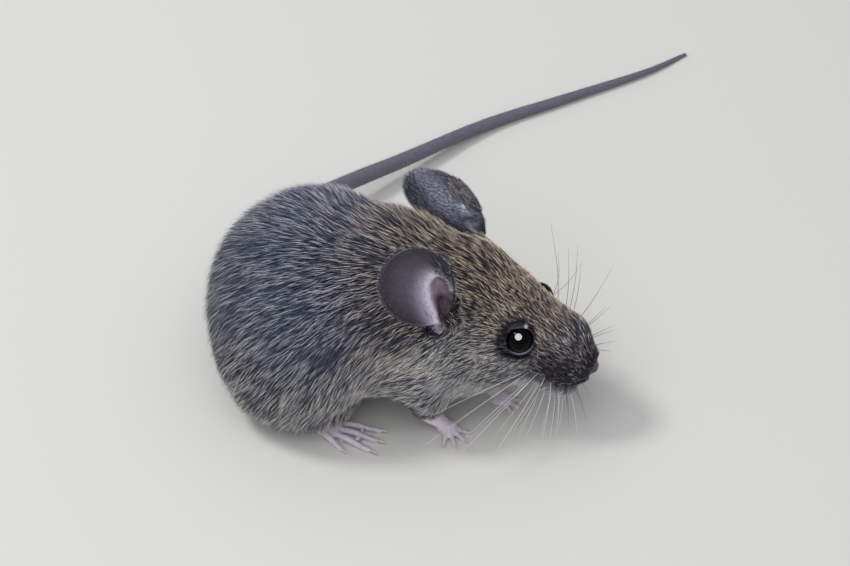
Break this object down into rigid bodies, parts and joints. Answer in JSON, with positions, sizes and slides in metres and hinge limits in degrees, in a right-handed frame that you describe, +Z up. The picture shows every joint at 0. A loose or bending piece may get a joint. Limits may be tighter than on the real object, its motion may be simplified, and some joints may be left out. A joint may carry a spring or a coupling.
{
  "type": "wood mouse",
  "caption": "Life-size crouching wood mouse with rounded furred body, large ears, dark bulging eyes, pale feet and a long thin tail laid out behind and to its left.",
  "frame": {"origin": "on the floor, under the middle of the box round the whole animal, tail included", "axes": "+X the way the body points, from rump to head; +Y to the animal's left, the way the tail runs; +Z up from the floor"},
  "size_m": [0.0626, 0.1012, 0.0376],
  "materials": {
    "slate_coat": "short dense fur, slate grey with pale tips",
    "brown_coat": "short dense fur, dark brown with ochre tips",
    "ear_skin": "thin bare skin with fine short hairs",
    "foot_skin": "pale pink bare skin with fine hairs and horn claws",
    "tail_skin": "finely ringed skin with sparse short hairs",
    "nose_skin": "moist bare skin",
    "eye": "wet black eye"
  },
  "bodies": {
    "root": {"foreleg_right": "brown_coat", "foreleg_left": "brown_coat", "hindleg_right": "slate_coat", "hindleg_left": "slate_coat", "forefoot_right": "foot_skin", "forefoot_left": "foot_skin", "hindfoot_right": "foot_skin", "hindfoot_left": "foot_skin", "eye_right": "eye", "eye_left": "eye", "ear_right": "ear_skin", "ear_left": "ear_skin", "nose": "nose_skin", "lower_jaw": "brown_coat", "breast": "brown_coat", "head": "brown_coat", "neck": "brown_coat", "trunk": "slate_coat", "tail_base": "tail_skin", "tail_middle": "tail_skin", "tail_end": "tail_skin", "tail_tip": "tail_skin"}
  },
  "joints": []
}
